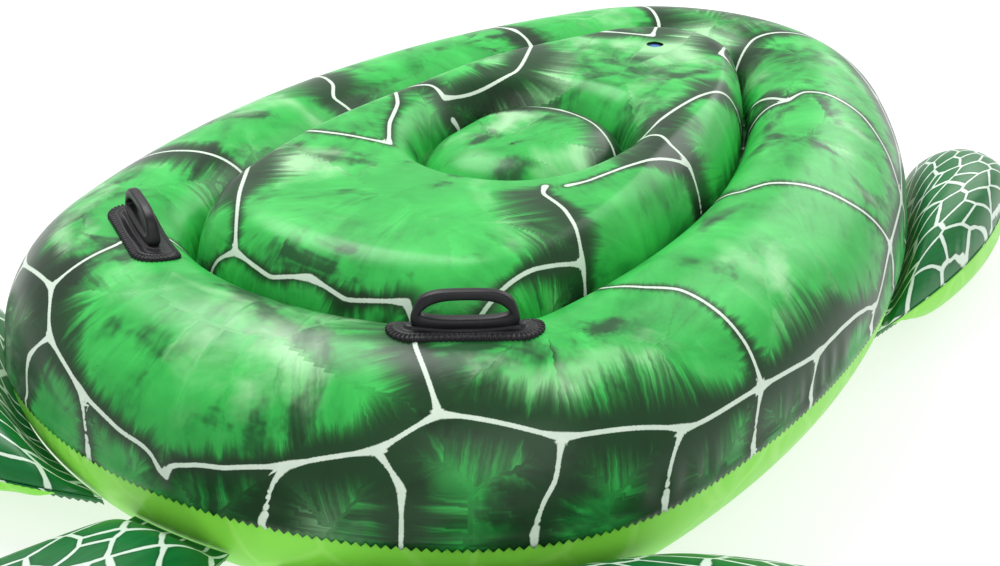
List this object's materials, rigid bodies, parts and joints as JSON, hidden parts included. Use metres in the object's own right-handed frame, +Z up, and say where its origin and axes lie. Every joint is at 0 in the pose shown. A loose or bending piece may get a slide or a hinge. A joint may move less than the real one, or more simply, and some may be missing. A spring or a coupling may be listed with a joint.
{
  "type": "inflatable pool float",
  "caption": "Turtle-shaped ride-on pool float: an inflated shell with a ringed deck, flippers, a head, carrying handles and air valves.",
  "frame": {"origin": "the middle of the float's footprint, on the surface that the belly rests on", "axes": "+Z up; -Y towards the head; +X towards the turtle's left side"},
  "size_m": [1.6962, 1.868, 0.3013],
  "materials": {
    "print_top": "glossy printed soft vinyl, mottled green scutes with pale lines",
    "lime": "semi-gloss lime green soft vinyl",
    "band": "plain translucent soft vinyl",
    "limb_print": "glossy printed soft vinyl, deep green cells in a pale net",
    "limb_lime": "semi-gloss lime green soft vinyl",
    "black_vinyl": "satin moulded black vinyl",
    "clear_vinyl": "clear moulded soft vinyl",
    "blue_vinyl": "blue moulded soft vinyl"
  },
  "bodies": {
    "shell": {"shell_top_sheet": "print_top", "shell_bottom_sheet": "lime", "outer_weld_band": "band", "inner_weld_band": "band", "left_handle_flange": "black_vinyl", "right_handle_flange": "black_vinyl", "deck_valve_base": "clear_vinyl", "tube_valve_base": "clear_vinyl"},
    "left_front_flipper": {"left_front_flipper_top": "limb_print", "left_front_flipper_bottom": "limb_lime"},
    "left_rear_flipper": {"left_rear_flipper_top": "limb_print", "left_rear_flipper_bottom": "limb_lime"},
    "left_grip": {"left_handle_grip": "black_vinyl"},
    "right_front_flipper": {"right_front_flipper_top": "limb_print", "right_front_flipper_bottom": "limb_lime"},
    "right_rear_flipper": {"right_rear_flipper_top": "limb_print", "right_rear_flipper_bottom": "limb_lime"},
    "right_grip": {"right_handle_grip": "black_vinyl"},
    "head": {"head_top": "limb_print", "head_bottom": "limb_lime"},
    "deck_valve_stem": {"deck_valve_stem": "clear_vinyl", "deck_valve_plug_tether": "blue_vinyl"},
    "deck_valve_plug": {"deck_valve_plug": "blue_vinyl"},
    "deck_valve_flap": {"deck_valve_check_flap": "clear_vinyl"},
    "tube_valve_stem": {"tube_valve_stem": "clear_vinyl", "tube_valve_plug_tether": "blue_vinyl"},
    "tube_valve_plug": {"tube_valve_plug": "blue_vinyl"},
    "tube_valve_flap": {"tube_valve_check_flap": "clear_vinyl"}
  },
  "joints": [
    {"name": "left_front_flipper_flex", "type": "hinge", "parent": "shell", "child": "left_front_flipper", "pos_m": [0.26143, -0.33894, 0.066], "axis": [-0.871, -0.4913, 0], "range_deg": [-5, 20], "stiffness_Nm_per_rad": 9},
    {"name": "right_front_flipper_flex", "type": "hinge", "parent": "shell", "child": "right_front_flipper", "pos_m": [-0.26143, -0.33894, 0.066], "axis": [-0.871, 0.4913, 0], "range_deg": [-5, 20], "stiffness_Nm_per_rad": 9},
    {"name": "left_rear_flipper_flex", "type": "hinge", "parent": "shell", "child": "left_rear_flipper", "pos_m": [0.37331, 0.51916, 0.066], "axis": [0.3175, -0.9483, 0], "range_deg": [-4, 20], "stiffness_Nm_per_rad": 5},
    {"name": "right_rear_flipper_flex", "type": "hinge", "parent": "shell", "child": "right_rear_flipper", "pos_m": [-0.37331, 0.51916, 0.066], "axis": [0.3175, 0.9483, 0], "range_deg": [-4, 20], "stiffness_Nm_per_rad": 5},
    {"name": "head_flex", "type": "hinge", "parent": "shell", "child": "head", "pos_m": [0, -0.40605, 0.066], "axis": [-1, 0, 0], "range_deg": [-5, 15], "stiffness_Nm_per_rad": 9},
    {"name": "left_grip_flex", "type": "hinge", "parent": "shell", "child": "left_grip", "pos_m": [0.19959, -0.21036, 0.2663], "axis": [0.829, 0.5592, 0], "range_deg": [-25, 25], "stiffness_Nm_per_rad": 1.5},
    {"name": "right_grip_flex", "type": "hinge", "parent": "shell", "child": "right_grip", "pos_m": [-0.19959, -0.21036, 0.2663], "axis": [0.829, -0.5592, 0], "range_deg": [-25, 25], "stiffness_Nm_per_rad": 1.5},
    {"name": "deck_valve_rise", "type": "slide", "parent": "shell", "child": "deck_valve_stem", "axis": [0, 0, 1], "range_m": [0, 0.011]},
    {"name": "deck_valve_plug_pull", "type": "slide", "parent": "deck_valve_stem", "child": "deck_valve_plug", "axis": [0, 0, 1], "range_m": [0, 0.014]},
    {"name": "deck_valve_flap_swing", "type": "hinge", "parent": "deck_valve_stem", "child": "deck_valve_flap", "pos_m": [-0.00595, 0.57804, 0.2584], "axis": [0, 1, 0], "range_deg": [0, 50], "stiffness_Nm_per_rad": 0.002},
    {"name": "tube_valve_rise", "type": "slide", "parent": "shell", "child": "tube_valve_stem", "axis": [-0.8099, 0.1226, 0.5736], "range_m": [0, 0.011]},
    {"name": "tube_valve_plug_pull", "type": "slide", "parent": "tube_valve_stem", "child": "tube_valve_plug", "axis": [-0.8099, 0.1226, 0.5736], "range_m": [0, 0.014]},
    {"name": "tube_valve_flap_swing", "type": "hinge", "parent": "tube_valve_stem", "child": "tube_valve_flap", "pos_m": [-0.39989, 0.31643, 0.19648], "axis": [0.5671, -0.0858, 0.8192], "range_deg": [0, 50], "stiffness_Nm_per_rad": 0.002}
  ]
}
